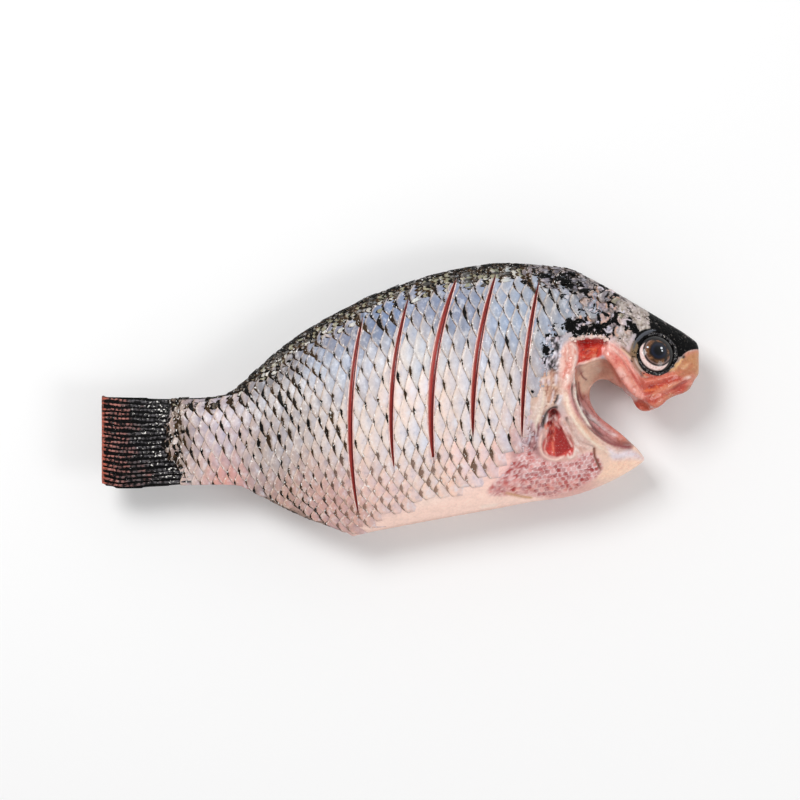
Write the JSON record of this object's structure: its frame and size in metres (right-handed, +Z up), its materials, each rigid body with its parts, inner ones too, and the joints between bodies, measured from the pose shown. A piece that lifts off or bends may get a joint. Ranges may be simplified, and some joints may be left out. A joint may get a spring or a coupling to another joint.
{
  "type": "whole raw fish",
  "caption": "Whole raw freshwater fish lying on its side, scored on both flanks, with its fins, gill covers, gills and lower jaw cut away and its tail trimmed straight.",
  "frame": {"origin": "on the surface that the fish lies on, under the middle of its bounding box", "axes": "+X from the tail to the snout, +Y from the belly to the back, +Z up through the flank that is shown"},
  "size_m": [0.27, 0.124, 0.0442],
  "materials": {
    "skin": "wet silvery scaled skin, bluish above, pink below, black about the back, snout and tail",
    "flesh": "wet raw flesh and membrane, pink to dark red",
    "eye": "clear wet cornea over a brown iris and a black pupil"
  },
  "bodies": {
    "root": {"body": "skin", "eye_upper": "eye", "eye_under": "eye"}
  },
  "joints": []
}
